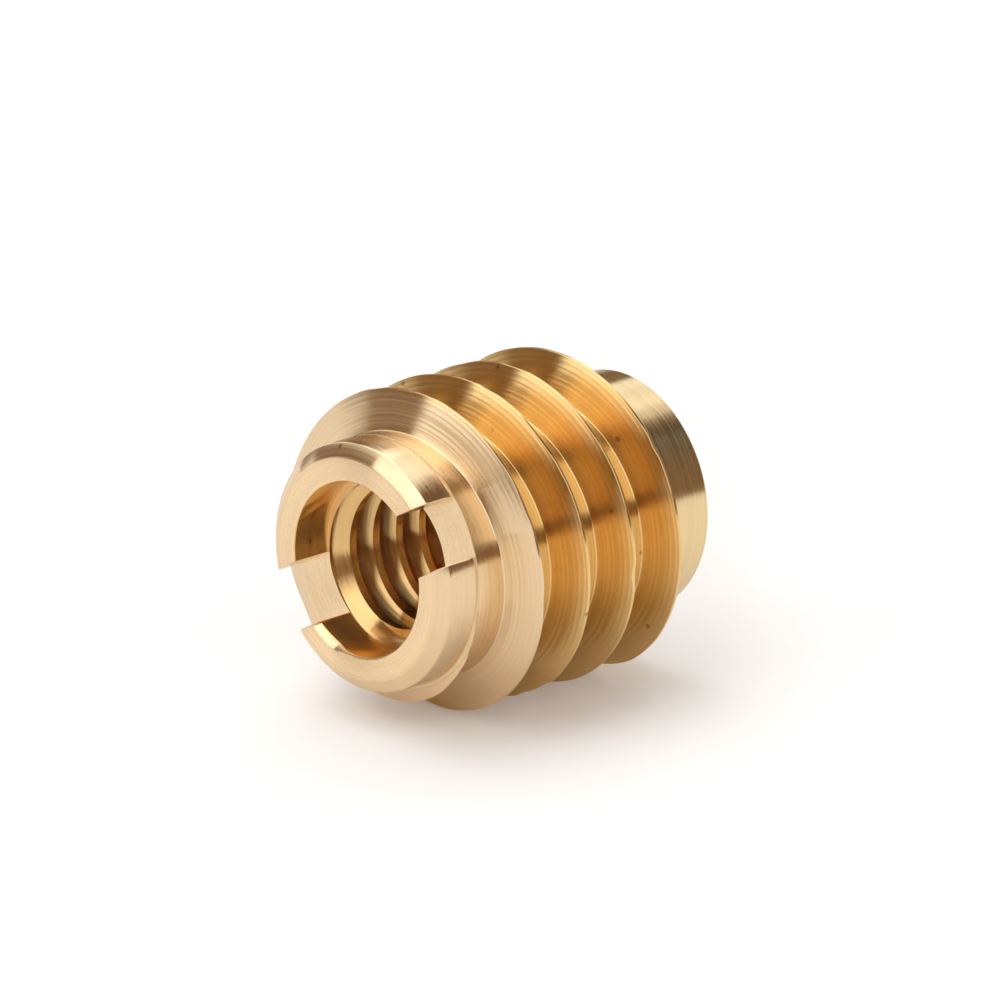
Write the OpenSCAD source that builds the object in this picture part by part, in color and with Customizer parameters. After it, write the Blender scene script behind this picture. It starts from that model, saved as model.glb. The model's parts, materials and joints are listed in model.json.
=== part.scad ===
/* [Body] */
// Length from the flat rear end to the slotted end
length = 16.45; // [12:0.05:26]
// Diameter of the solid wall between the turns of the outer thread
root_d = 11.32; // [10:0.02:12.5]
// How much thinner than that wall the plain pilot is, so that it slips into the drilled hole
pilot_relief = 0.32; // [0.1:0.02:0.6]
// Length of the plain pilot at the rear end
pilot_len = 2.75; // [1:0.1:5]
// Bevel round the rear edge of the pilot
pilot_bevel = 0.1; // [0.05:0.05:0.5]

/* [Outer knife thread] */
// Diameter over the crests of the outer thread
thread_d = 14.95; // [13.5:0.05:18]
// Pitch of the outer thread, which is right-handed and has one start
thread_pitch = 2.82; // [2:0.02:3.6]
// Width of the narrow land along the crest
crest_land = 0.14; // [0.05:0.01:0.3]
// Slope of the flank that faces the slotted end, in degrees from square to the axis
front_flank_angle = 17; // [8:1:22]
// Slope of the flank that faces the rear end, in degrees from square to the axis
rear_flank_angle = 13; // [8:1:22]
// Distance from the slotted end to the first full crest on the +X side
thread_setback = 3.32; // [3:0.02:5]
// Axial length of the cone that trims the crest where the thread starts
lead_in = 0.75; // [0.3:0.05:2]
// Axial length of the cone that trims the crest where the thread runs out
run_out = 0.6; // [0.3:0.05:2]

/* [Slotted collar] */
// Length of the plain collar in front of the thread
collar_len = 2; // [1.6:0.05:3]
// Width of the bevel round the collar's front edge, seen from the front
collar_bevel_w = 0.6; // [0.2:0.05:0.8]
// Axial length of that bevel
collar_bevel_h = 0.46; // [0.1:0.02:0.8]
// Width of the screwdriver slot across the collar
slot_w = 2.85; // [1:0.05:4]
// Depth of the screwdriver slot
slot_depth = 2.05; // [1:0.05:3]

/* [Bore] */
// Diameter of the counterbore, and of the inner thread over its roots
bore_major_d = 7.95; // [7:0.05:8.6]
// Radial depth of the inner thread, which sets the bore inside its crests
bore_thread_depth = 0.725; // [0.4:0.025:0.9]
// Depth of the counterbore
counterbore_depth = 2.05; // [1:0.05:3.5]
// Width of the flat step at the bottom of the counterbore
counterbore_step = 0.35; // [0.1:0.05:0.35]
// Angle between the axis and the bevels that lead into the bore at both ends
bore_bevel_angle = 45; // [30:5:60]

/* [Hidden] */
brass = [0.85, 0.64, 0.36];
$fn = 96;

// Radii and heights that follow from the sizes above
root_r = root_d / 2;
pilot_r = root_r - pilot_relief / 2;
crest_r = thread_d / 2;
major_r = bore_major_d / 2;
minor_r = major_r - bore_thread_depth;
collar_z = length - collar_len;
step_z = length - counterbore_depth;

// The thread is swept a little deeper than the wall, so that it grows out of solid metal
steps_per_turn = 64;
thread_bed = 0.2;
bed_r = root_r - thread_bed;
thread_h = crest_r - bed_r;
front_reach = crest_land / 2 + thread_h * tan(front_flank_angle);
rear_reach = crest_land / 2 + thread_h * tan(rear_flank_angle);

// Turns are counted from the first full crest on the +X side, forwards up and backwards down
function crest_z(turn) = length - thread_setback + thread_pitch * turn;
function turn_at(z) = (z - crest_z(0)) / thread_pitch;
first_step = floor(turn_at(pilot_len - front_reach - thread_bed) * steps_per_turn);
last_step = ceil(turn_at(collar_z + rear_reach + thread_bed) * steps_per_turn);

// Cross-section of the thread at one step of the sweep, as four corners round the fin
function fin_section(turn) =
    let (z = crest_z(turn), angle = 360 * turn)
    [
        for (corner = [
            [bed_r, z - rear_reach],
            [crest_r, z - crest_land / 2],
            [crest_r, z + crest_land / 2],
            [bed_r, z + front_reach]
        ])
        [corner[0] * cos(angle), corner[0] * sin(angle), corner[1]]
    ];

// Two triangles for each side of the fin between one step and the next
function fin_sides(steps) = [
    for (i = [0 : steps - 1], c = [0 : 3])
        let (a = 4 * i + c, b = 4 * i + (c + 1) % 4)
        each [[a, b, a + 4], [b, b + 4, a + 4]]
];

// One helical fin that runs past both ends of the finished thread
module raw_fin() {
    steps = last_step - first_step;
    sections = [for (s = [first_step : last_step]) fin_section(s / steps_per_turn)];
    end = 4 * steps;
    polyhedron(
        points = [for (section = sections) each section],
        faces = concat(
            [[0, 2, 1], [0, 3, 2]],
            fin_sides(steps),
            [[end, end + 1, end + 2], [end, end + 2, end + 3]]
        )
    );
}

// The turned blank that the thread is cut from: a cone at each end meets the wall
// where the collar and the pilot begin
module thread_blank() {
    rim_r = crest_r + 1;
    start_slope = lead_in / (crest_r - root_r);
    end_slope = run_out / (crest_r - root_r);
    rotate_extrude()
        polygon([
            [0, pilot_len - root_r * end_slope],
            [rim_r, pilot_len + (rim_r - root_r) * end_slope],
            [rim_r, collar_z - (rim_r - root_r) * start_slope],
            [0, collar_z + root_r * start_slope]
        ]);
}

module knife_thread() {
    intersection() {
        raw_fin();
        thread_blank();
    }
}

// Everything that is turned on the axis: pilot, wall, collar, counterbore and bore
module turned_body() {
    step_r = major_r - counterbore_step;
    bevel_rise = 1 / tan(bore_bevel_angle);
    rotate_extrude()
        polygon([
            [major_r, 0],
            [pilot_r - pilot_bevel, 0],
            [pilot_r, pilot_bevel],
            [pilot_r, pilot_len - pilot_relief / 2],
            [root_r, pilot_len],
            [root_r, length - collar_bevel_h],
            [root_r - collar_bevel_w, length],
            [major_r, length],
            [major_r, step_z],
            [step_r, step_z],
            [minor_r, step_z - (step_r - minor_r) * bevel_rise],
            [minor_r, (major_r - minor_r) * bevel_rise]
        ]);
}

// The slot runs along Y, right across the collar
module drive_slot() {
    overshoot = 1;
    translate([-slot_w / 2, -root_d, length - slot_depth])
        cube([slot_w, 2 * root_d, slot_depth + overshoot]);
}

module insert() {
    color(brass) {
        difference() {
            union() {
                turned_body();
                knife_thread();
            }
            drive_slot();
        }
    }
}

insert();
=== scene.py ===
"""Threaded insert in turned brass: its full threads, tool lines, studio and camera."""

import json
import math
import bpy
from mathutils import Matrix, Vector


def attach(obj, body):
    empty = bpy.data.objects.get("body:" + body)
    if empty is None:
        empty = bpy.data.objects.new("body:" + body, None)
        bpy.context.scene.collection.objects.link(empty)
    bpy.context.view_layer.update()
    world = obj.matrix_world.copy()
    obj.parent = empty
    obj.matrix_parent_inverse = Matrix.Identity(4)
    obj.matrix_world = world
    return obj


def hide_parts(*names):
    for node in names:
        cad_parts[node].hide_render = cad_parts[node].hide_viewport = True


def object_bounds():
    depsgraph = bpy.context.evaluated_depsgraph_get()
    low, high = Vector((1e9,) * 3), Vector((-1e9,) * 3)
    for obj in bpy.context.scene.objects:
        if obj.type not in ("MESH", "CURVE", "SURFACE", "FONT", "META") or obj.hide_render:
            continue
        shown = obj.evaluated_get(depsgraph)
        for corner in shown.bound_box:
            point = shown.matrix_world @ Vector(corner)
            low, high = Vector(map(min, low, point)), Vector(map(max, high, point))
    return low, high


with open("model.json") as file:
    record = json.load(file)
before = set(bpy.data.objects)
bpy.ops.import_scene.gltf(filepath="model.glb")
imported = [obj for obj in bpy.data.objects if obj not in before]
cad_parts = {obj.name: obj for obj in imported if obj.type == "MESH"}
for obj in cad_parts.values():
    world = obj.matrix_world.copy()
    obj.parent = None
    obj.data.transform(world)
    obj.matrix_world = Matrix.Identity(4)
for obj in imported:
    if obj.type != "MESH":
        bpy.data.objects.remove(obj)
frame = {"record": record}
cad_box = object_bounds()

from types import SimpleNamespace

import bmesh
import bpy
from mathutils import Matrix, Vector, noise

MM = 0.001

# ---------------------------------------------------------------- sizes in mm
mounts = {m["name"]: m["dims"] for m in frame["record"]["mounts"]}
LENGTH = round((cad_box[1][2] - cad_box[0][2]) / MM, 3)

# radii: ROOT is the wall between the outer turns, INNER the screw thread in the bore
CREST = round((cad_box[1][0] - cad_box[0][0]) / 2 / MM, 3)
PILOT = mounts["pilot"]["r_mm"]
PILOT_RELIEF = 0.16
ROOT = PILOT + PILOT_RELIEF
COUNTERBORE = mounts["counterbore"]["r_mm"]
COUNTERBORE_STEP = 0.35
INNER_CLEARANCE = 0.01
INNER_MAJOR = COUNTERBORE - INNER_CLEARANCE
INNER_MINOR = mounts["threaded_bore"]["r_mm"]

# outer knife thread: slopes are the axial rise for each mm of radius, CREST_Z is on the +X side
PITCH = 2.82
LAND = 0.14
FRONT_SLOPE = math.tan(math.radians(17))
REAR_SLOPE = math.tan(math.radians(13))
FIN = CREST - ROOT
THREAD_SETBACK = 3.32
CREST_Z = LENGTH - THREAD_SETBACK
LEAD_IN = 0.75
RUN_OUT = 0.6

# pilot, collar and slot, whose floor is level with the counterbore's
PILOT_LEN = 2.75
PILOT_BEVEL = 0.1
COLLAR_LEN = 2
COLLAR_Z = LENGTH - COLLAR_LEN
COLLAR_BEVEL_W = 0.6
COLLAR_BEVEL_H = 0.46
SLOT_W = 2.85
SLOT_HALF = SLOT_W / 2
SLOT_DEPTH = 2.05
FLOOR_Z = LENGTH - SLOT_DEPTH

# inner screw thread, half the flat of its groove, and the heights where the bore's bevels end
INNER_PITCH = 1.411
INNER_SETBACK = 3.86
INNER_Z = LENGTH - INNER_SETBACK
INNER_FLAT = 0.088
INNER_SLOPE = math.tan(math.radians(60))
TOP_KINK = FLOOR_Z - (COUNTERBORE - COUNTERBORE_STEP - INNER_MINOR)
LOW_KINK = COUNTERBORE - INNER_MINOR

# eased edges and corners, and the most of the fin's height or of a line that one of them may take
FILLET = 0.1
FILLET_LIMIT = 0.4
EDGE = 0.03
EDGE_LIMIT = 0.2
EASE_LIMIT = 0.45
COLLAR_EASES = [0.05, 0.05, 0.03, 0.03]
PILOT_EASES = [0.04, 0.02, 0.02]
INNER_EASE = 0.025
SLOPE_PROBE = 0.05
TINY = 1e-9

# break round the counterbore's edge in mm, and the wider stretch of it in degrees round the axis
EDGE_BREAK = 0.09
BREAK_RISE = 0.8
WIDER_BREAK = 0.24
WIDER_AT = 110
WIDER_BEFORE = 4
WIDER_AFTER = 30
WIDER_FADE = 14

# nicks in the crest: noise periods a turn, depth, offsets that let more of the noise count, and
# the places where the noise is read
NICKS = 43
NICK_PATCHES = 9
NICK_DEPTH = 0.16
NICK_LIMIT = 0.3
NICK_OFFSET = 0.1
PATCH_OFFSET = 0.3
NICK_NOISE = (2.5, 0.5)
PATCH_NOISE = (0.5, 0.5)

# ---------------------------------------------------------------- columns of points
COLS = 240
COL_DEGREES = 360 / COLS
HALF_TURN = COLS // 2
QUARTER_TURN = COLS // 4
SLOT_COLS = 10

# seams: between two turns above the fin, between the thread and the collar, and beside the slot
JOINT_GAP = 0.3
RING_TOP = COLLAR_Z + 0.25
SEAM_MARGIN = 0.12
BEND_BELOW_FLOOR = 0.5

# radii of points across the slot's floor and the rear face, and the turns near the collar
SLOT_FLOOR_RADII = [COUNTERBORE, 4.3, 4.75, 5.2, 5.5]
REAR_FACE_RADIUS = COUNTERBORE + 0.6
TURNS_FROM_TOP = (3, 2, 1, 0, -1, -2)

# steps of the curves, and how many points a knife thread section has between its ends
EASE_STEPS = 2
FILLET_STEPS = 5
TIP_STEPS = 3
FLANK_POINTS = 2
FIN_POINTS = 2 * (FILLET_STEPS + 1 + FLANK_POINTS + TIP_STEPS + 1)


class Net:
    """Points and faces. Points in one place are joined at the end."""

    def __init__(self):
        self.points = []
        self.faces = []

    def at(self, radius, degrees, z):
        a = math.radians(degrees)
        self.points.append((radius * math.cos(a), radius * math.sin(a), z))
        return len(self.points) - 1

    def band(self, left, right):
        """Quads between two columns of points."""
        for a, b, c, d in zip(left[:-1], left[1:], right[1:], right[:-1]):
            self.faces.append((a, b, c, d))

    def sheet(self, columns):
        """Quads between each column of points and the next."""
        for left, right in zip(columns[:-1], columns[1:]):
            self.band(left, right)


def smooth(t):
    """0 to 1 with level ends."""
    return t * t * (3 - 2 * t)


def half_angle(radius, half_width=SLOT_HALF):
    """Degrees from the slot's middle to its wall, at one radius."""
    return math.degrees(math.asin(half_width / radius))


def from_slot(col):
    """Columns from the middle of the nearer side of the slot, negative before it."""
    return col % HALF_TURN - QUARTER_TURN


def spin(col, half):
    """Degrees of a column. Columns SLOT_COLS steps from the slot's middle lie at its walls."""
    steps = from_slot(col)
    if abs(steps) <= SLOT_COLS:
        a = half * abs(steps) / SLOT_COLS
    else:
        a = half + (90 - half) * (abs(steps) - SLOT_COLS) / (QUARTER_TURN - SLOT_COLS)
    return COL_DEGREES * (col - steps) + math.copysign(a, steps)


def wall_spin(col):
    """Degrees of a column on the wall between the turns."""
    return spin(col, half_angle(ROOT))


def bend(a, b, c, steps):
    """Points of a curve from a to c that b pulls on."""
    out = []
    for k in range(steps + 1):
        t = k / steps
        out.append(tuple((1 - t) ** 2 * p + 2 * t * (1 - t) * q + t * t * r for p, q, r in zip(a, b, c)))
    return out


def toward(a, b, dist):
    """The point that is dist from a on the way to b, at most EASE_LIMIT of the way."""
    span = math.dist(a, b)
    if span < TINY:
        return a
    t = min(dist / span, EASE_LIMIT)
    return tuple(p + (q - p) * t for p, q in zip(a, b))


def soften(profile, sizes):
    """The profile with each inner corner eased by its size."""
    out = [profile[0]]
    for before, corner, after, size in zip(profile, profile[1:], profile[2:], sizes):
        out += bend(toward(corner, before, size), corner, toward(corner, after, size), EASE_STEPS)
    return out + [profile[-1]]


def inset(points, dist):
    """The profile moved into the material by dist."""
    moved = []
    for k, (r, z) in enumerate(points):
        r0, z0 = points[max(k - 1, 0)]
        r1, z1 = points[min(k + 1, len(points) - 1)]
        span = math.hypot(r1 - r0, z1 - z0)
        moved.append((r - dist * (z1 - z0) / span, z + dist * (r1 - r0) / span))
    return moved


# ---------------------------------------------------------------- knife thread
def wall_z(turn):
    """Height of the joint between two turns, on the wall just above the fin."""
    z = CREST_Z + PITCH * turn + LAND / 2 + FIN * FRONT_SLOPE + JOINT_GAP
    return min(max(z, PILOT_LEN), RING_TOP)


def turn_at(z):
    """The turn whose joint lies at a height."""
    return (z - CREST_Z - LAND / 2 - FIN * FRONT_SLOPE - JOINT_GAP) / PITCH


def nick(turn):
    """Depth of the small nicks in the crest, which come in patches."""
    patch = noise.noise(Vector((turn * NICK_PATCHES, *PATCH_NOISE)))
    dent = noise.noise(Vector((turn * NICKS, *NICK_NOISE)))
    return NICK_DEPTH * max(0.0, PATCH_OFFSET + patch) * max(0.0, NICK_OFFSET + dent)


def fillet(edge, side, room, reach):
    """The eased foot of a flank, and how far out it ends. Side is 1 above the fin and -1 below."""
    foot = edge(0)
    probe = min(SLOPE_PROBE, reach)
    slope = abs(edge(probe) - foot) / probe
    size = FILLET * math.tan((math.pi / 2 - math.atan(slope)) / 2)
    size = max(0.0, min(size, room, FILLET_LIMIT * reach))
    x = size / math.hypot(1, slope)
    return bend((0, foot + side * size), (0, foot), (x, edge(x)), FILLET_STEPS), x


def fin_rows(turn):
    """The knife thread's section at one place along it: (radius, z) from above the fin to below it.

    Inside, x is the distance out from the wall. Cones trim the fin where it starts and runs out."""
    above, below = wall_z(turn), wall_z(turn - 1)
    middle = CREST_Z + PITCH * turn
    top_foot = middle + LAND / 2 + FIN * FRONT_SLOPE
    low_foot = middle - LAND / 2 - FIN * REAR_SLOPE
    top_cone, low_cone = LEAD_IN / FIN, RUN_OUT / FIN

    def top(x):
        return min(top_foot - FRONT_SLOPE * x, COLLAR_Z - top_cone * x)

    def low(x):
        return max(low_foot + REAR_SLOPE * x, PILOT_LEN + low_cone * x)

    reach = min(
        FIN,
        (top_foot - low_foot) / (FRONT_SLOPE + REAR_SLOPE),
        (top_foot - PILOT_LEN) / (FRONT_SLOPE + low_cone),
        (COLLAR_Z - low_foot) / (top_cone + REAR_SLOPE),
        (COLLAR_Z - PILOT_LEN) / (top_cone + low_cone),
    )
    if reach <= 0:
        z = min(max(top(0), below), above)
        return [(ROOT, above)] + [(ROOT, z)] * FIN_POINTS + [(ROOT, below)]

    reach -= min(nick(turn), NICK_LIMIT * reach)
    first, first_end = fillet(top, 1, above - top(0), reach)
    last, last_end = fillet(low, -1, low(0) - below, reach)
    down = min(EDGE, EASE_LIMIT * (top(reach) - low(reach)))
    back = reach - min(EDGE, EDGE_LIMIT * reach)

    # where each flank meets its cone, and a point halfway to there
    top_x = min(max((COLLAR_Z - top_foot) / (top_cone - FRONT_SLOPE), first_end), back)
    low_x = min(max((low_foot - PILOT_LEN) / (low_cone - REAR_SLOPE), last_end), back)
    top_mid = (first_end + top_x) / 2
    low_mid = (last_end + low_x) / 2

    rows = first + [(top_mid, top(top_mid)), (top_x, top(top_x))]
    rows += bend((back, top(back)), (reach, top(reach)), (reach, top(reach) - down), TIP_STEPS)
    rows += bend((reach, low(reach) + down), (reach, low(reach)), (back, low(back)), TIP_STEPS)
    rows += [(low_x, low(low_x)), (low_mid, low(low_mid))] + last[::-1]
    rows = [(ROOT + x, min(max(z, below), above)) for x, z in rows]
    return [(ROOT, above)] + rows + [(ROOT, below)]


def outer_half(radius, z):
    """The slot's half angle for a column: true at the slot floor and above, the wall's well below."""
    wall = half_angle(ROOT)
    t = min(max((z - FLOOR_Z) / BEND_BELOW_FLOOR + 1, 0), 1)
    return wall + smooth(t) * (half_angle(radius) - wall)


def cut(rows):
    """Rows of a section with what is above the slot floor drawn down to it."""
    if rows[-1][1] >= FLOOR_Z:
        return [(ROOT, FLOOR_Z)] * len(rows)
    radius = ROOT
    for (r0, z0), (r1, z1) in zip(rows[:-1], rows[1:]):
        if z0 > FLOOR_Z >= z1:
            radius = r0 + (r1 - r0) * (z0 - FLOOR_Z) / (z0 - z1)
    return [(radius, FLOOR_Z) if z > FLOOR_Z else (r, z) for r, z in rows]


def section(col, turns=0):
    """The fin's section in one column. Beside the slot's walls it has a point at the floor's height."""
    rows = fin_rows(wall_spin(col) / 360 + turns)
    if abs(from_slot(col)) == SLOT_COLS:
        radius = cut(rows)[0][0]
        above = [k for k, (r, z) in enumerate(rows) if z > FLOOR_Z]
        if above and above[-1] + 1 < len(rows):
            rows[above[-1]] = (radius, FLOOR_Z)
    return rows


def add_knife_thread(net):
    """The fin and the wall between its turns, from the pilot to the collar, cut down inside the slot."""
    first = math.floor(turn_at(PILOT_LEN) * COLS) - 1
    last = math.ceil((turn_at(RING_TOP) + 1) * COLS) + 1
    whole, short = [], []
    for col in range(first, last + 1):
        rows = section(col)
        whole.append([net.at(r, spin(col, outer_half(r, z)), z) for r, z in rows])
        short.append([net.at(r, spin(col, outer_half(r, z)), z) for r, z in cut(rows)])
    for k in range(len(whole) - 1):
        in_slot = -SLOT_COLS <= from_slot(first + k) < SLOT_COLS
        net.sheet(short[k : k + 2] if in_slot else whole[k : k + 2])


# ---------------------------------------------------------------- bore
def inner_radius(turn, z):
    """Radius of the screw thread in the bore, with the bevels at both ends."""
    best = max(INNER_MINOR, INNER_MINOR + z - TOP_KINK, INNER_MINOR + LOW_KINK - z)
    nearest = round((z - INNER_Z) / INNER_PITCH - turn)
    for groove in (nearest - 1, nearest, nearest + 1):
        away = abs(z - INNER_Z - INNER_PITCH * (turn + groove)) - INNER_FLAT
        best = max(best, INNER_MAJOR - max(away, 0) * INNER_SLOPE)
    return best


def inner_rows(turn):
    """One groove of the bore's thread, from the land above it to the land below it."""
    middle = INNER_Z + INNER_PITCH * turn
    flat_top, flat_low = middle + INNER_FLAT, middle - INNER_FLAT
    half = INNER_FLAT + (INNER_MAJOR - INNER_MINOR) / INNER_SLOPE

    # where the groove's flanks meet the bore or one of its bevels
    up = (INNER_MAJOR + INNER_SLOPE * flat_top - INNER_MINOR + TOP_KINK) / (INNER_SLOPE + 1)
    up = min(middle + half, up)
    on_low_bevel = (INNER_MAJOR - INNER_MINOR + INNER_SLOPE * flat_top - LOW_KINK) / (INNER_SLOPE - 1)
    if on_low_bevel < LOW_KINK:
        up = min(up, max(on_low_bevel, middle))
    down = (INNER_MINOR + LOW_KINK - INNER_MAJOR + INNER_SLOPE * flat_low) / (INNER_SLOPE + 1)
    down = max(middle - half, down)
    on_top_bevel = (INNER_MINOR - TOP_KINK - INNER_MAJOR + INNER_SLOPE * flat_low) / (INNER_SLOPE - 1)
    if on_top_bevel > TOP_KINK:
        down = max(down, min(on_top_bevel, middle))

    above, below = middle + INNER_PITCH / 2, middle - INNER_PITCH / 2
    kink = TOP_KINK if middle > LENGTH / 2 else LOW_KINK
    heights = [above, min(max(kink, up + INNER_EASE), above)]
    for z in (up, flat_top, flat_low, down):
        heights += [z + INNER_EASE, z, z - INNER_EASE]
    heights += [min(max(kink, below), down - INNER_EASE), below]

    if below < FLOOR_Z and above > 0:
        heights = [min(max(z, below, 0.0), above, FLOOR_Z) for z in heights]
    else:
        heights = [min(max(z, 0.0), FLOOR_Z) for z in heights]
    for k in range(1, len(heights)):
        heights[k] = min(heights[k], heights[k - 1])
    return [(inner_radius(turn, z), z) for z in heights]


def add_bore_thread(net):
    """The screw thread from the rear face to the counterbore's floor."""
    first = math.floor((-INNER_PITCH / 2 - INNER_Z) / INNER_PITCH * COLS) - 1
    last = math.ceil(((FLOOR_Z - INNER_Z) / INNER_PITCH + 0.5) * COLS) + COLS + 1
    columns = []
    for col in range(first, last + 1):
        columns.append([net.at(r, COL_DEGREES * col, z) for r, z in inner_rows(col / COLS)])
    net.sheet(columns)


def add_counterbore_floor(net):
    """The flat step round the thread's mouth."""
    for c in range(COLS):
        ids = []
        for col in (c, c + 1):
            ids.append(net.at(COUNTERBORE, spin(col, half_angle(COUNTERBORE)), FLOOR_Z))
        for col in (c + 1, c):
            ids.append(net.at(inner_radius(col / COLS, FLOOR_Z), COL_DEGREES * col, FLOOR_Z))
        net.faces.append(tuple(ids))


# ---------------------------------------------------------------- rear end
def add_rear_end(net):
    """The step down to the pilot, the pilot, its bevel and the rear face."""
    profile = [
        (ROOT, PILOT_LEN),
        (PILOT, PILOT_LEN - ROOT + PILOT),
        (PILOT, PILOT_BEVEL),
        (PILOT - PILOT_BEVEL, 0),
        (REAR_FACE_RADIUS, 0),
    ]
    columns = []
    for col in range(COLS):
        columns.append([net.at(r, wall_spin(col), z) for r, z in soften(profile, PILOT_EASES)])
    net.sheet(columns + columns[:1])

    outer = [net.at(REAR_FACE_RADIUS, wall_spin(col), 0) for col in range(COLS)]
    inner = [net.at(COUNTERBORE, COL_DEGREES * col, 0) for col in range(COLS)]
    for c in range(COLS):
        d = (c + 1) % COLS
        net.faces.append((outer[c], outer[d], inner[d], inner[c]))


# ---------------------------------------------------------------- slotted collar
def sections_at(col):
    """The sections in one column of the turns near the collar, from the top down."""
    return [section(col, turns) for turns in TURNS_FROM_TOP]


def floor_radius(col):
    """Radius at which the slot floor ends in one column."""
    for rows in sections_at(col):
        if rows[0][1] >= FLOOR_Z > rows[-1][1]:
            return max(r for r, z in cut(rows) if z == FLOOR_Z)
    return ROOT


def edge_above_floor(col):
    """The outline from the slot floor up to the collar's plain wall, in one column."""
    points = {}
    for rows in sections_at(col):
        for r, z in rows:
            if FLOOR_Z < z < RING_TOP:
                points[round(z, 6)] = (r, z)
    return [points[k] for k in sorted(points)]


def inner_edge(degrees):
    """Width of the break round the counterbore's edge, wider beside one wall of the slot."""
    past = (degrees - WIDER_AT + 180) % 360 - 180
    if not -WIDER_BEFORE < past < WIDER_AFTER:
        return EDGE_BREAK
    return EDGE_BREAK + WIDER_BREAK * smooth(min(1.0, (WIDER_AFTER - past) / WIDER_FADE))


def collar_profile(degrees, depth=0.0):
    """The collar's section from its plain wall, over the end face, to the counterbore's floor."""
    edge = inner_edge(degrees)
    profile = [
        (ROOT, RING_TOP + SEAM_MARGIN),
        (ROOT, LENGTH - COLLAR_BEVEL_H),
        (ROOT - COLLAR_BEVEL_W, LENGTH),
        (COUNTERBORE + edge, LENGTH),
        (COUNTERBORE, LENGTH - edge * BREAK_RISE),
        (COUNTERBORE, FLOOR_Z + SEAM_MARGIN),
    ]
    points = inset(soften(profile, COLLAR_EASES), depth)
    return [(ROOT, RING_TOP)] + points + [(COUNTERBORE, FLOOR_Z)]


def add_slot_floors(net):
    """Both sides of the slot's floor. Returns the points along each wall, by the wall's column."""
    walls = {}
    for middle in (QUARTER_TURN, QUARTER_TURN + HALF_TURN):
        columns = []
        for col in range(middle - SLOT_COLS, middle + SLOT_COLS + 1):
            radii = SLOT_FLOOR_RADII + [floor_radius(col)]
            columns.append([net.at(r, spin(col, half_angle(r)), FLOOR_Z) for r in radii])
        net.sheet(columns)
        walls[middle - SLOT_COLS], walls[middle + SLOT_COLS] = columns[0], columns[-1]
    return walls


def add_collar_side(net, first, last, walls):
    """Half of the collar, between two walls of the slot, with those walls and their broken edges."""
    columns = []
    for col in range(first, last + 1):
        points = collar_profile(wall_spin(col))
        column = []
        for k, (r, z) in enumerate(points):
            broken = col in (first, last) and 0 < k < len(points) - 1
            half = half_angle(r, SLOT_HALF + EDGE if broken else SLOT_HALF)
            column.append(net.at(r, spin(col, half), z))
        columns.append(column)
    net.sheet(columns)
    for col, edge in ((first, columns[0]), (last, columns[-1])):
        profile = collar_profile(wall_spin(col), EDGE)
        rim = [net.at(r, spin(col, half_angle(r)), z) for r, z in profile]
        net.band(edge, rim)
        rise = [net.at(r, spin(col, half_angle(r)), z) for r, z in edge_above_floor(col)]
        net.faces.append(tuple(rise + rim[:-1] + walls[col % COLS]))


def add_collar(net):
    """The slot's floors and the two halves of the collar beside them."""
    walls = add_slot_floors(net)
    for middle in (HALF_TURN, 2 * HALF_TURN):
        reach = QUARTER_TURN - SLOT_COLS
        add_collar_side(net, middle - reach, middle + reach, walls)


# ---------------------------------------------------------------- mesh of the insert
JOIN_DISTANCE = 0.0004 * MM
SHARP_ANGLE = math.radians(38)


def make_insert():
    """The insert's skin, as one closed mesh."""
    net = Net()
    for add in (add_knife_thread, add_rear_end, add_bore_thread, add_counterbore_floor, add_collar):
        add(net)
    mesh = bpy.data.meshes.new("insert_skin")
    bm = bmesh.new()
    verts = [bm.verts.new((x * MM, y * MM, z * MM)) for x, y, z in net.points]
    for ids in net.faces:
        bm.faces.new([verts[i] for i in ids])
    bmesh.ops.remove_doubles(bm, verts=bm.verts, dist=JOIN_DISTANCE)
    loose = [v for v in bm.verts if not v.link_faces]
    bmesh.ops.delete(bm, geom=loose, context="VERTS")
    bmesh.ops.recalc_face_normals(bm, faces=bm.faces)
    bm.to_mesh(mesh)
    bm.free()
    for poly in mesh.polygons:
        poly.use_smooth = True
    mesh.set_sharp_from_angle(angle=SHARP_ANGLE)
    obj = bpy.data.objects.new("insert_skin", mesh)
    bpy.context.scene.collection.objects.link(obj)
    obj.modifiers.new("normals", "WEIGHTED_NORMAL").keep_sharp = True
    return obj


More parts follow.
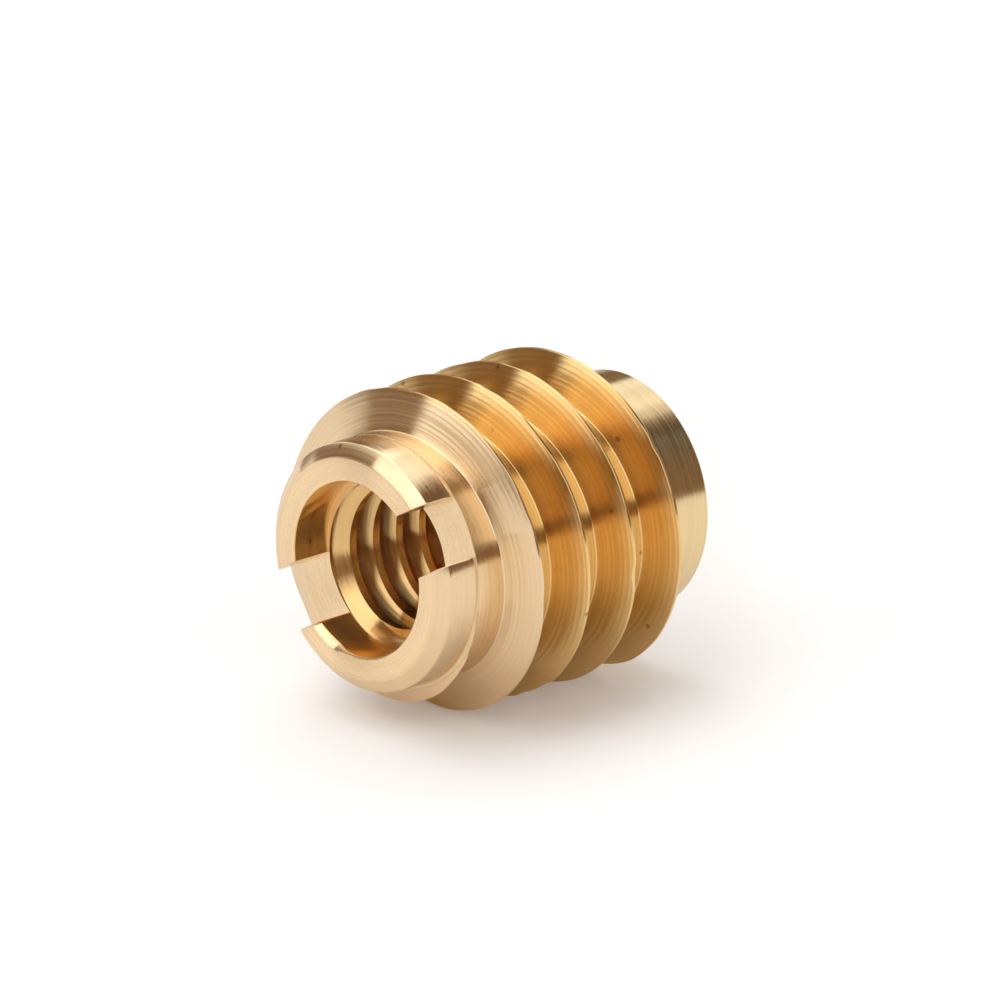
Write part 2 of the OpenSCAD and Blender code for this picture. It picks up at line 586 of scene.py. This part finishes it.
# ---------------------------------------------------------------- shader helper
class Wires:
    """Writes sums as shader nodes."""

    def __init__(self, tree):
        self.tree = tree

    def node(self, kind, **settings):
        n = self.tree.nodes.new(kind)
        for key, value in settings.items():
            setattr(n, key, value)
        return n

    def put(self, socket, value):
        if isinstance(value, bpy.types.NodeSocket):
            self.tree.links.new(value, socket)
        else:
            socket.default_value = value

    def fill(self, n, **values):
        """Sets a node's inputs by name, with _ for a space, and returns the node."""
        for name, value in values.items():
            self.put(n.inputs[name.replace("_", " ")], value)
        return n

    def calc(self, op, a, b=0.0):
        n = self.node("ShaderNodeMath", operation=op)
        self.put(n.inputs[0], a)
        self.put(n.inputs[1], b)
        return n.outputs[0]

    def add(self, a, b):
        return self.calc("ADD", a, b)

    def sub(self, a, b):
        return self.calc("SUBTRACT", a, b)

    def mul(self, a, b):
        return self.calc("MULTIPLY", a, b)

    def dot(self, vector, axis):
        n = self.node("ShaderNodeVectorMath", operation="DOT_PRODUCT")
        self.put(n.inputs[0], vector)
        n.inputs[1].default_value = axis
        return n.outputs["Value"]

    def step(self, x, start, end):
        """0 before start and 1 past end, smooth between. End may be below start."""
        n = self.node("ShaderNodeMapRange", interpolation_type="SMOOTHSTEP")
        rising = start < end
        self.fill(n, Value=x, From_Min=min(start, end), From_Max=max(start, end))
        self.fill(n, To_Min=0 if rising else 1, To_Max=1 if rising else 0)
        return n.outputs["Result"]

    def mix(self, t, a, b, kind="FLOAT", blend="MIX"):
        """a where t is 0 and b where it is 1."""
        n = self.node("ShaderNodeMix", data_type=kind, blend_type=blend)
        return self.fill(n, Factor=t, A=a, B=b).outputs["Result"]

    def mix_color(self, t, a, b, blend="MIX"):
        return self.mix(t, a, b, "RGBA", blend)

    def mix_shader(self, t, a, b):
        """The output of shader node a where t is 0 and of b where it is 1."""
        n = self.node("ShaderNodeMixShader")
        for socket, value in zip(n.inputs, (t, a.outputs[0], b.outputs[0])):
            self.put(socket, value)
        return n.outputs[0]

    def join(self, x, y, z):
        n = self.node("ShaderNodeCombineXYZ")
        for socket, value in zip(n.inputs, (x, y, z)):
            self.put(socket, value)
        return n.outputs[0]

    def noise(self, vector, scale, detail=0.0, rough=0.5, drift=None):
        """Noise from 0 to 1 in three dimensions, or in four where a drift is given."""
        n = self.node("ShaderNodeTexNoise", noise_dimensions="3D" if drift is None else "4D")
        self.fill(n, Vector=vector, Scale=scale, Detail=detail, Roughness=rough)
        if drift is not None:
            self.put(n.inputs["W"], drift)
        return n.outputs[0]


# ---------------------------------------------------------------- brass
# paler gold in front of the first crest: painted light on the collar, which catches more light there
PALE_LIT_GOLD = (0.90, 0.67, 0.41, 1)
GOLD = (0.88, 0.61, 0.27, 1)
# olive gold for the pilot: a painted reflection, the olive cast of the dark surroundings it mirrors
OLIVE_REFLECTION_GOLD = (0.88, 0.67, 0.36, 1)
# deeper gold for the bore: painted shade of its hollow, where light bounces between brass walls
SHADED_DEEP_GOLD = (0.80, 0.52, 0.22, 1)
# brighter gold for the end face and the slot floor: painted light, their mirror image of the white table
# made brighter
BRIGHT_LIT_GOLD = (0.97, 0.72, 0.44, 1)
TARNISH = (0.30, 0.16, 0.07, 1)

# mm over which one kind of surface turns into the next, and within which a point is on a flat
BLEND = 0.1
END_SKIN = 0.02
FLOOR_SKIN = 0.01

# Tool lines are stretched noise, with these many periods a mm along the radius and the axis.
# On the thread, one pitch is a circle in the noise, so that the lines close up.
RADIAL_LINES = 3.6
AXIAL_LINES = 5.0
HELIX_CIRCLE = 2.4

# scale of the broad and the fine lines, the broad ones' share, and how both change round the axis
BROAD_LINES = 1.0
FINE_LINES = 2.1
BROAD_SHARE = 0.6
BROAD_DRIFT = 0.5
DRIFT = 1.3

# depth of the lines in mm, and their strength on each kind of surface
LINE_DEPTH = 0.02
WALL_LINES, FLANK_LINES, FLAT_LINES = 0.5, 1.0, 0.15

# roughness, and what the fine lines add to it between two levels of their noise
WALL_ROUGH, FLANK_ROUGH, FLAT_ROUGH = 0.17, 0.18, 0.26
ROUGH_LEVELS = (0.35, 0.7)
LINE_ROUGH = 0.03

# tool lines, clouds and specks: scale a mm, the levels that count, and how much each darkens
LINE_LEVELS = (0.34, 0.66)
LINE_SHADE = 0.06
CLOUDS = 0.55
CLOUD_LEVELS = (0.45, 0.75)
CLOUD_SHADE = 0.03
SPECKS = 0.6
SPECK_LEVELS = (0.09, 0.05)
SPECK_SHADE = 0.6


def insert_places(w):
    """Where a point of the insert lies, in mm and radians, and 0 to 1 for each kind of surface."""
    scaled = w.node("ShaderNodeVectorMath", operation="SCALE")
    w.fill(scaled, Vector=w.node("ShaderNodeTexCoord").outputs["Object"], Scale=1 / MM)
    at = SimpleNamespace(mm=scaled.outputs[0])
    x, y, z = w.fill(w.node("ShaderNodeSeparateXYZ"), Vector=at.mm).outputs
    r = w.calc("SQRT", w.add(w.mul(x, x), w.mul(y, y)))
    at.r, at.z, at.angle = r, z, w.calc("ARCTAN2", y, x)
    at.cosine = w.calc("COSINE", at.angle)

    at.inside = w.step(r, COUNTERBORE + BLEND, COUNTERBORE - BLEND / 2)
    outside = w.step(r, COUNTERBORE + BLEND / 2, COUNTERBORE + BLEND)
    in_front = w.step(z, PILOT_LEN - BLEND, PILOT_LEN)
    at.thread = w.mul(w.mul(w.step(z, COLLAR_Z + BLEND, COLLAR_Z - BLEND), in_front), outside)
    at.flank = w.mul(at.thread, w.step(r, ROOT + BLEND / 2, ROOT + 2 * BLEND))
    at.pilot = w.mul(w.step(z, PILOT_LEN, PILOT_LEN - BLEND), outside)

    end_face = w.step(z, LENGTH - 3 * END_SKIN, LENGTH - END_SKIN)
    slot_floor = w.step(w.calc("ABSOLUTE", w.sub(z, FLOOR_Z)), 3 * FLOOR_SKIN, FLOOR_SKIN)
    slot_floor = w.mul(slot_floor, w.step(r, ROOT + 2 * BLEND, ROOT + BLEND))
    at.flat = w.calc("MAXIMUM", end_face, slot_floor)

    # in front of the first crest, which is half a pitch lower on the -X side
    first_crest = w.sub(CREST_Z, w.mul(w.sub(1.0, at.cosine), PITCH / 4))
    at.front = w.mul(w.step(w.sub(z, first_crest), -1.5 * BLEND, BLEND / 2), outside)
    return at


def tool_lines(w, at):
    """Broad and fine tool lines, along the helix on the thread and round the axis elsewhere."""
    phase = w.sub(w.mul(at.z, 2 * math.pi / PITCH), at.angle)
    circle = [w.mul(w.calc(wave, phase), HELIX_CIRCLE) for wave in ("COSINE", "SINE")]
    helical = w.join(*circle, w.mul(at.r, RADIAL_LINES))
    rings = w.join(w.mul(at.z, AXIAL_LINES), w.mul(at.r, RADIAL_LINES), 0.0)
    across = w.mix(at.thread, rings, helical, "VECTOR")
    round_the_axis = w.join(at.cosine, w.calc("SINE", at.angle), 0.0)
    drift = w.noise(round_the_axis, DRIFT, detail=1.0)
    broad = w.noise(across, BROAD_LINES, drift=w.mul(drift, BROAD_DRIFT))
    return broad, w.noise(across, FINE_LINES, drift=drift)


def brass_tone(w, at, height):
    """Deep gold inside as painted shade, pale in front of the first crest and bright on the flats as
    painted light, and olive on the pilot as a painted reflection.
    """
    # painted shade: the bore is deeper gold than the rest
    tone = w.mix_color(at.inside, GOLD, SHADED_DEEP_GOLD)
    # painted light: paler in front of the first crest
    tone = w.mix_color(at.front, tone, PALE_LIT_GOLD)
    # painted reflection: an olive cast on the pilot
    tone = w.mix_color(at.pilot, tone, OLIVE_REFLECTION_GOLD)
    # painted light: the flats are brighter
    tone = w.mix_color(at.flat, tone, BRIGHT_LIT_GOLD)
    cloud = w.noise(at.mm, CLOUDS, detail=3.0, rough=0.6)
    shade = w.add(1 - LINE_SHADE, w.mul(w.step(height, *LINE_LEVELS), LINE_SHADE))
    shade = w.sub(shade, w.mul(w.step(cloud, *CLOUD_LEVELS), CLOUD_SHADE))
    tone = w.mix_color(1.0, tone, w.join(shade, shade, shade), "MULTIPLY")
    pits = w.fill(w.node("ShaderNodeTexVoronoi"), Vector=at.mm, Scale=SPECKS)
    speck = w.step(pits.outputs["Distance"], *SPECK_LEVELS)
    return w.mix_color(w.mul(speck, SPECK_SHADE), tone, TARNISH)


def make_brass():
    """Turned brass, whose reflections are stretched across the tool lines."""
    mat = bpy.data.materials.new("turned_brass")
    mat.use_nodes = True
    w = Wires(mat.node_tree)
    at = insert_places(w)
    broad, fine = tool_lines(w, at)
    height = w.add(w.mul(broad, BROAD_SHARE), w.mul(fine, 1 - BROAD_SHARE))
    strength = w.mix(at.flat, w.mix(at.flank, WALL_LINES, FLANK_LINES), FLAT_LINES)
    bump = w.fill(w.node("ShaderNodeBump"), Distance=LINE_DEPTH * MM, Strength=strength, Height=height)
    rough = w.mix(at.flat, w.mix(at.flank, WALL_ROUGH, FLANK_ROUGH), FLAT_ROUGH)
    rough = w.add(rough, w.mul(w.step(fine, *ROUGH_LEVELS), LINE_ROUGH))
    tangent = w.node("ShaderNodeTangent", direction_type="RADIAL", axis="Z")
    shader = mat.node_tree.nodes["Principled BSDF"]
    w.fill(shader, Base_Color=brass_tone(w, at, height), Metallic=1.0, Roughness=rough)
    w.fill(shader, Normal=bump.outputs[0], Tangent=tangent.outputs[0])
    w.fill(shader, Anisotropic=1.0, Anisotropic_Rotation=0.25)
    return mat


# ---------------------------------------------------------------- studio
def direction(azimuth, elevation):
    """A direction in the part's own frame, in degrees from +X and above the XY plane."""
    a, e = math.radians(azimuth), math.radians(elevation)
    return Vector((math.cos(e) * math.cos(a), math.cos(e) * math.sin(a), math.sin(e)))


# The part lies on its crests in the picture, so up there is square to the part's own axis.
VIEW = -direction(-94.7, 41.2)
VIEW_ROLL = math.radians(106.8)
UP = direction(-30, 0)
AWAY = (VIEW - UP * VIEW.dot(UP)).normalized()
RIGHT = AWAY.cross(UP)

# light of the dim studio and of the white table, and the rise of a ray where one turns into the other
DIM = (0.21, 0.12, 0.06, 1)
TABLE_WHITE = (0.97, 0.97, 0.97, 1)
WHITE = (1, 1, 1, 1)
HORIZON = (-0.01, -0.03)

# Soft boxes and screens: azimuth, elevation, width and height in degrees, then the light level.
# Azimuth 0 is behind the part, 90 is on its right. Each box covers those before it.
SOFT_EDGE = 3
SOFT_BOXES = [
    (35, -5, 50, 40, 0.1),  # grey screen, low behind on the right
    (65, 20, 20, 55, 0.04),  # dark upright screen on the right
    (145, 35, 60, 45, 1.2),  # box on the right, on the camera's side
    (-65, -5, 40, 25, 0.9),  # low box on the left
    (25, 15, 35, 55, 1.0),  # upright box behind on the right
    (30, 10, 40, 25, 1.3),  # brighter box across its lower middle
    (-120, 40, 40, 60, 1.6),  # tall box on the left, on the camera's side
    (-105, 55, 165, 20, 1.2),  # long strip high on the left
    (-5, 70, 60, 45, 1.3),  # box overhead, a little behind
    (-80, 75, 95, 25, 2.0),  # brightest strip, overhead on the left
]


def heading(azimuth, elevation):
    """A direction in the studio: azimuth to the right of AWAY, elevation above the table."""
    a, e = math.radians(azimuth), math.radians(elevation)
    return AWAY * math.cos(e) * math.cos(a) + RIGHT * math.cos(e) * math.sin(a) + UP * math.sin(e)


def within(w, angle, width):
    """1 for an angle within half a width of 0, with a soft edge."""
    inner, outer = math.radians(width - SOFT_EDGE) / 2, math.radians(width + SOFT_EDGE) / 2
    return w.step(w.calc("ABSOLUTE", angle), outer, inner)


def soft_box(w, ray, behind, azimuth, elevation, width, height, level):
    """The light seen along a ray, with one soft box in front of what is behind it."""
    middle = heading(azimuth, elevation)
    across = heading(azimuth + 90, 0)
    rise = across.cross(middle)
    sideways = w.calc("ARCTAN2", w.dot(ray, across), w.dot(ray, middle))
    mask = w.mul(within(w, sideways, width), within(w, w.calc("ARCSINE", w.dot(ray, rise)), height))
    return w.mix_color(mask, behind, (level, level, level, 1))


def make_world():
    """A dim studio with the soft boxes and a white table below. The camera sees plain white instead."""
    world = bpy.data.worlds.new("studio")
    bpy.context.scene.world = world
    world.use_nodes = True
    tree = world.node_tree
    w = Wires(tree)
    ray = w.node("ShaderNodeTexCoord").outputs["Generated"]
    light = DIM
    for box in SOFT_BOXES:
        light = soft_box(w, ray, light, *box)
    light = w.mix_color(w.step(w.dot(ray, UP), *HORIZON), light, TABLE_WHITE)
    lit = w.fill(tree.nodes["Background"], Color=light)
    plain = w.fill(w.node("ShaderNodeBackground"), Color=WHITE, Strength=1.0)
    seen = w.node("ShaderNodeLightPath").outputs["Is Camera Ray"]
    w.fill(tree.nodes["World Output"], Surface=w.mix_shader(seen, lit, plain))


# mm from the crests down to the table, and from the axis to where the floor fades out beside it
TABLE_GAP = 0.05
FLOOR_CUT = (-2.0, -6.3)
RIM_POINTS = 96


def plane_material(name, albedo, glow, fade, solid, keep_off):
    """White, seen from above only. It glows a little for the camera, to look white where it is lit."""
    mat = bpy.data.materials.new(name)
    mat.use_nodes = True
    tree = mat.node_tree
    w = Wires(tree)
    shader = tree.nodes["Principled BSDF"]
    camera = w.node("ShaderNodeLightPath").outputs["Is Camera Ray"]
    w.fill(shader, Base_Color=(albedo, albedo, albedo, 1), Roughness=1.0, Specular_IOR_Level=0.0)
    w.fill(shader, Emission_Color=WHITE, Emission_Strength=w.mul(camera, glow))
    at = w.node("ShaderNodeTexCoord").outputs["Object"]
    distance = w.fill(w.node("ShaderNodeVectorMath", operation="LENGTH"), Vector=at).outputs["Value"]
    clear = w.step(distance, fade[0] * MM, fade[1] * MM)
    if keep_off:
        near_table = w.step(w.dot(at, keep_off), FLOOR_CUT[0] * MM, FLOOR_CUT[1] * MM)
        clear = w.calc("MAXIMUM", clear, near_table)
    clear = w.sub(1.0, w.mul(w.sub(1.0, clear), solid))
    clear = w.calc("MAXIMUM", clear, w.node("ShaderNodeNewGeometry").outputs["Backfacing"])
    surface = w.mix_shader(clear, shader, w.node("ShaderNodeBsdfTransparent"))
    w.fill(tree.nodes["Material Output"], Surface=surface)
    return mat


def make_plane(name, place, albedo, glow, fade, solid=1.0, keep_off=None):
    """A round white plane that fades out between two radii in mm.

    With keep_off, the way up from the table, it also fades out where it would meet the table."""
    radius = fade[1] * MM
    rim = []
    for k in range(RIM_POINTS):
        a = 2 * math.pi * k / RIM_POINTS
        point = Vector((radius * math.cos(a), radius * math.sin(a), 0))
        if keep_off:
            point -= keep_off * min(point.dot(keep_off) - FLOOR_CUT[1] * MM, 0)
        rim.append(point)
    mesh = bpy.data.meshes.new(name)
    mesh.from_pydata(rim, [], [tuple(range(RIM_POINTS))])
    mesh.materials.append(plane_material(name, albedo, glow, fade, solid, keep_off))
    obj = bpy.data.objects.new(name, mesh)
    obj.matrix_world = place
    bpy.context.scene.collection.objects.link(obj)
    return obj


# camera: the point it looks at and how far off it stands, in mm, and its clipping range in m
AIM = (0.73, -4.67, 11.21)
DISTANCE = 556
FOCAL_LENGTH = 455.4
CLIP_RANGE = (0.01, 10)


def make_camera():
    """The camera of the product picture: 41 degrees above the insert's end face, turned on its side."""
    level = (Vector((0, 0, 1)) - VIEW * VIEW.z).normalized()
    across = VIEW.cross(level)
    up = level * math.cos(VIEW_ROLL) + across * math.sin(VIEW_ROLL)
    side = across * math.cos(VIEW_ROLL) + VIEW.cross(across) * math.sin(VIEW_ROLL)
    data = bpy.data.cameras.new("camera")
    data.lens = FOCAL_LENGTH
    data.clip_start, data.clip_end = CLIP_RANGE
    cam = bpy.data.objects.new("camera", data)
    turn = Matrix((side, up, -VIEW)).transposed()
    cam.matrix_world = Matrix.Translation(Vector(AIM) * MM - VIEW * DISTANCE * MM) @ turn.to_4x4()
    bpy.context.scene.collection.objects.link(cam)
    bpy.context.scene.camera = cam


insert = make_insert()
insert.data.materials.append(make_brass())
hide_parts("insert")
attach(insert, "root")

make_world()
table_turn = Matrix((RIGHT, AWAY, UP)).transposed().to_4x4()
table_middle = Vector((0, 0, LENGTH / 2 * MM)) - UP * (CREST + TABLE_GAP) * MM
table_place = Matrix.Translation(table_middle) @ table_turn
make_plane("table", table_place, albedo=0.93, glow=0.12, fade=(100, 300))

# The floor only carries a faint shadow. A denser one leaves a line where the two planes fade out.
floor_place = Matrix.Identity(4)
floor = make_plane("floor", floor_place, albedo=0.85, glow=0.35, fade=(6, 18), solid=0.27, keep_off=UP)
floor.visible_glossy = False
floor.visible_diffuse = False
floor.visible_shadow = False
make_camera()
bpy.context.scene.view_settings.view_transform = "Standard"

bpy.context.view_layer.update()
